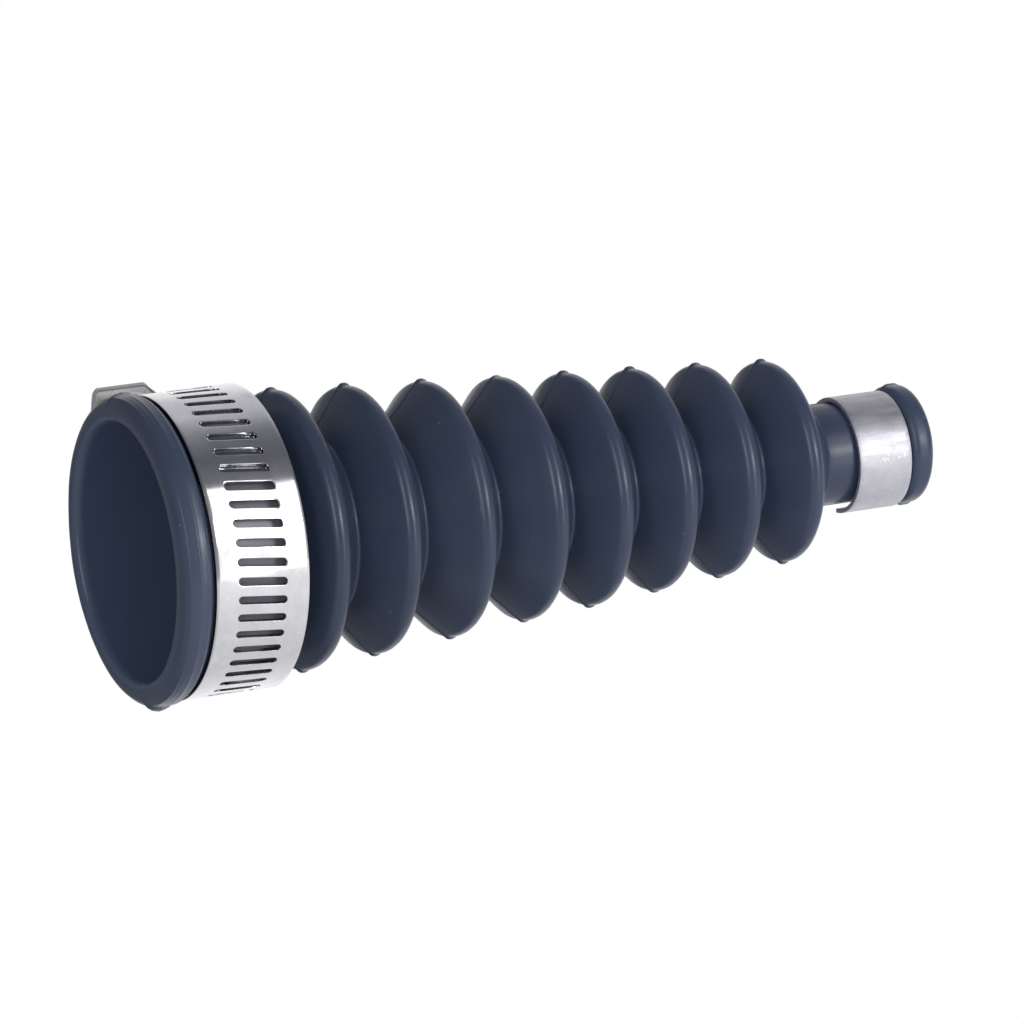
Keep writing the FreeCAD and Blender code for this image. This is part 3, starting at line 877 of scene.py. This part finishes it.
def steel(name, colour, rough, grain, relief, stretch=(1.0, 1.0, 1.0), waves=0.0, metal=1.0,
          mottle=0.06, patch=None):
    """A metal with fine streaks and slow waves in its surface. The relief and the waves are in mm.

    A patch is a colour and a function that gives 1 where the metal is painted that colour: painted shade
    below the band's outer face, painted shade on the housing's open end, and a worn spot on the sleeve."""
    n = Nodes(name)
    streaks = n.noise(grain, 4.0, 0.65, stretch)
    low = tuple(c * (1 - mottle) for c in colour)
    tone = n.ramp(n.math("ADD", n.noise(380.0, 5.0, 0.75), n.math("MULTIPLY", streaks, 0.5)),
                  [(0.55, low), (0.95, colour)])
    if patch:
        other, place = patch
        tone = n.mix(place(n), tone, other)
    n.colour(tone)
    n.roughness(n.ramp(streaks, [(0.3, rough * 0.8), (0.7, rough * 1.25)]))
    slow = n.math("MULTIPLY", n.noise(110.0, 1.0, 0.4), waves / relief)
    n.bump(n.math("ADD", streaks, slow), 1.0, relief * MM)
    n.set(Metallic=metal)
    return n.material


rubber_look = rubber()
# Painted shade: below the band's outer face (slot walls, the tongue seen through the slots, inner faces and
# the saddle) the steel is painted dark.
painted_shade_below_face = ((0.30, 0.30, 0.33), lambda n: n.between(n.radius(), 0.0, BAND_OUTER_RADIUS - 0.15))
band_look = steel("band_steel", (0.83, 0.83, 0.86), rough=0.13, grain=60.0, relief=0.01,
                  stretch=(1.0, 1.0, 5.0), waves=0.3, mottle=0.14, patch=painted_shade_below_face)
# The housing's steel is pale and partly diffuse so that its inside reads bright: painted light. The rim of
# its open end is painted dark: painted shade.
housing_look = steel("housing_steel", (0.93, 0.93, 0.93), rough=0.3, grain=220.0, relief=0.01,
                     metal=0.35, patch=((0.36, 0.36, 0.38), Nodes.housing_rim))
screw_look = steel("screw_steel", (0.62, 0.62, 0.63), rough=0.28, grain=260.0, relief=0.01)
sleeve_look = steel("sleeve_steel", (0.74, 0.735, 0.79), rough=0.50, grain=900.0, relief=0.035,
                    stretch=(1.0, 1.0, 0.12), waves=0.15, mottle=0.2,
                    patch=((0.85, 0.83, 0.79), Nodes.worn_spot))

# Pieces

boot = new_object("boot_moulding", *boot_mesh(), rubber_look, "boot_rubber")
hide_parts("bellows_boot")

band = rounded_edges(new_object("band_strip", *band_mesh(), band_look, "band_steel"), 0.09)
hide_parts("clamp_band")

sleeve = rounded_edges(new_object("sleeve_strip", *sleeve_mesh(), sleeve_look, "sleeve_steel"), 0.1)
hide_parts("crimp_sleeve")

screw_shape = screw_mesh(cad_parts["clamp_screw"])
screw = new_object("worm_screw", *screw_shape, screw_look, "screw_steel", "screw")
rounded_edges(screw, 0.1)
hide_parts("clamp_screw")

housing = new_object("worm_housing", *housing_mesh(), housing_look, "housing_steel")
rounded_edges(housing, 0.07)
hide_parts("clamp_housing")

saddle_shape = welded_mesh(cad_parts["clamp_saddle"])
saddle = new_object("band_saddle", *saddle_shape, band_look, "band_steel")
rounded_edges(saddle, 0.08)
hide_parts("clamp_saddle")

# Camera

scene = bpy.context.scene
up = Vector((0.0, -1.0, 0.0))
up = (up - up.dot(BOOT_AXIS) * BOOT_AXIS).normalized()
near_side = BOOT_AXIS.cross(up)
origin = BAND_EDGE_CENTRE - BAND_BOTTOM * BOOT_AXIS
rows = (up, near_side, BOOT_AXIS)
columns = [[row[0], -row[1], -row[2]] for row in rows]
place = [-origin.dot(row) * MM for row in rows]
camera_data = bpy.data.cameras.new("camera")
camera_data.lens = LENS
camera_data.sensor_width = 36.0
camera_data.clip_start = 0.01
camera_data.clip_end = 100.0
camera = bpy.data.objects.new("camera", camera_data)
camera.matrix_world = Matrix.Translation(place) @ Matrix(columns).to_4x4()
scene.collection.objects.link(camera)
scene.camera = camera

# Floor: seen from above it is pale and takes the shadow, from below it isn't there

FLOOR_HALF_SIZE = 3.0
FLOOR_DROP = 0.0001


def floor():
    size = FLOOR_HALF_SIZE
    mesh = bpy.data.meshes.new("floor")
    corners = [(-size, -size, 0), (size, -size, 0), (size, size, 0), (-size, size, 0)]
    mesh.from_pydata(corners, [], [(0, 1, 2, 3)])
    made = bpy.data.objects.new("floor", mesh)
    scene.collection.objects.link(made)
    made.visible_shadow = False
    made.location.z = -FLOOR_DROP
    n = Nodes("floor")
    n.set(Base_Color=(0.82, 0.82, 0.82, 1.0), Roughness=0.8)
    clear = n.add("BsdfTransparent")
    above = n.math("SUBTRACT", 1.0, n.add("NewGeometry").outputs["Backfacing"])
    seen = n.math("MULTIPLY", above, n.add("LightPath").outputs["Is Camera Ray"])
    mix = n.add("MixShader")
    n.link(seen, mix.inputs["Fac"])
    n.link(clear.outputs["BSDF"], mix.inputs[1])
    n.link(n.shader.outputs["BSDF"], mix.inputs[2])
    n.link(mix.outputs["Shader"], n.tree.nodes["Material Output"].inputs["Surface"])
    mesh.materials.append(n.material)


floor()

# Light. Directions round the boot are an azimuth from -Y toward +X and an elevation, in degrees.

LAMP_DISTANCE = 3.0
AIM = Vector((0.0, 0.0, 0.05))


def lamp(name, azimuth, elevation, half_width, half_height, brightness):
    """A panel of light that covers the given half angles as seen from the boot."""
    turn, rise = math.radians(azimuth), math.radians(elevation)
    toward = Vector((math.cos(rise) * math.sin(turn), -math.cos(rise) * math.cos(turn), math.sin(rise)))
    data = bpy.data.lights.new(name, "AREA")
    data.shape = "RECTANGLE"
    data.size = 2 * LAMP_DISTANCE * math.tan(math.radians(half_width))
    data.size_y = 2 * LAMP_DISTANCE * math.tan(math.radians(half_height))
    data.energy = brightness * math.pi * data.size * data.size_y
    made = bpy.data.objects.new(name, data)
    scene.collection.objects.link(made)
    made.location = AIM + LAMP_DISTANCE * toward
    made.rotation_mode = "QUATERNION"
    made.rotation_quaternion = (-toward).to_track_quat("-Z", "Y")
    made.visible_camera = False
    return made


for index, azimuth in enumerate((155.5, 188.5)):
    lamp("front_panel_%d" % index, azimuth, 27, 16, 7, 2.2)
lamp("front_strip", 173, 24, 6, 6, 12.0)
lamp("mouth_fill", 165, -40, 20, 6, 4.5)


def studio_world():
    """White for the camera, soft light for the boot, and a room for the metal to reflect.

    The room's stops are (azimuth, brightness): the dim space round the front panels, a pale
    table on the boot's -X side, a pale backdrop behind it and a dark card on its +X side.
    What is low in the room reflects dimly, apart from the table's top on the near side.
    The soft light is a little stronger from the -X side and from the mouth's end."""
    room = [(-180, 0.30), (-157, 0.50), (-153, 1.0), (-130, 0.88), (-117, 0.80)]
    room += [(-95, 0.72), (-70, 0.70), (-50, 0.85), (-30, 1.0)]
    room += [(0, 1.0), (30, 0.9), (52, 0.58), (62, 0.54), (72, 0.52), (81, 0.38), (90, 0.22), (100, 0.15)]
    room += [(115, 0.116), (125, 0.14), (137, 0.16), (140, 0.30), (180, 0.30)]
    room = [(angle, (level, level, level ** 0.93)) for angle, level in room]
    world = bpy.data.worlds.new("studio")
    scene.world = world
    world.use_nodes = True
    tree = world.node_tree

    def work_out(operation, *values):
        return math_node(tree, operation, *values)

    parts = tree.nodes.new("ShaderNodeSeparateXYZ")
    tree.links.new(tree.nodes.new("ShaderNodeTexCoord").outputs["Generated"], parts.inputs["Vector"])
    behind = work_out("MULTIPLY", parts.outputs["Y"], -1.0)
    azimuth = work_out("ARCTAN2", parts.outputs["X"], behind)
    share = work_out("ADD", work_out("DIVIDE", azimuth, math.tau), 0.5)
    ramp = tree.nodes.new("ShaderNodeValToRGB")
    set_stops(ramp.color_ramp.elements, [((angle + 180) / 360, value) for angle, value in room])
    tree.links.new(share, ramp.inputs["Fac"])

    path = tree.nodes.new("ShaderNodeLightPath")
    shown = work_out("MAXIMUM", path.outputs["Is Camera Ray"], path.outputs["Is Transmission Ray"])
    glossy = path.outputs["Is Glossy Ray"]

    def rising(value, start, end):
        """0 up to the start, rising to 1 at the end."""
        share = work_out("DIVIDE", work_out("SUBTRACT", value, start), end - start)
        return work_out("MINIMUM", work_out("MAXIMUM", share, 0.0), 1.0)

    high = rising(parts.outputs["Z"], 0.05, 0.22)
    table_top = rising(parts.outputs["Z"], -0.85, -0.65)
    table = work_out("MULTIPLY", table_top, rising(parts.outputs["Y"], -0.35, 0.0))
    low = work_out("ADD", work_out("MULTIPLY", table, 0.5), 0.17)
    height = work_out("MAXIMUM", high, low)
    reflected = work_out("MULTIPLY", glossy, height)
    plain = work_out("SUBTRACT", 1.0, work_out("MAXIMUM", shown, glossy))
    below = work_out("MULTIPLY", parts.outputs["X"], -0.15)
    mouthward = work_out("MULTIPLY", parts.outputs["Z"], -0.1)
    side = work_out("ADD", 0.66, work_out("ADD", below, mouthward))
    soft = work_out("MULTIPLY", plain, side)
    background = tree.nodes["Background"]
    tint = tree.nodes.new("ShaderNodeMixRGB")
    tint.inputs["Color1"].default_value = (1.0, 1.0, 1.0, 1.0)
    tree.links.new(glossy, tint.inputs["Fac"])
    tree.links.new(ramp.outputs["Color"], tint.inputs["Color2"])
    tree.links.new(tint.outputs["Color"], background.inputs["Color"])
    level = work_out("ADD", work_out("ADD", shown, reflected), soft)
    tree.links.new(level, background.inputs["Strength"])


studio_world()

scene.view_settings.view_transform = "Standard"
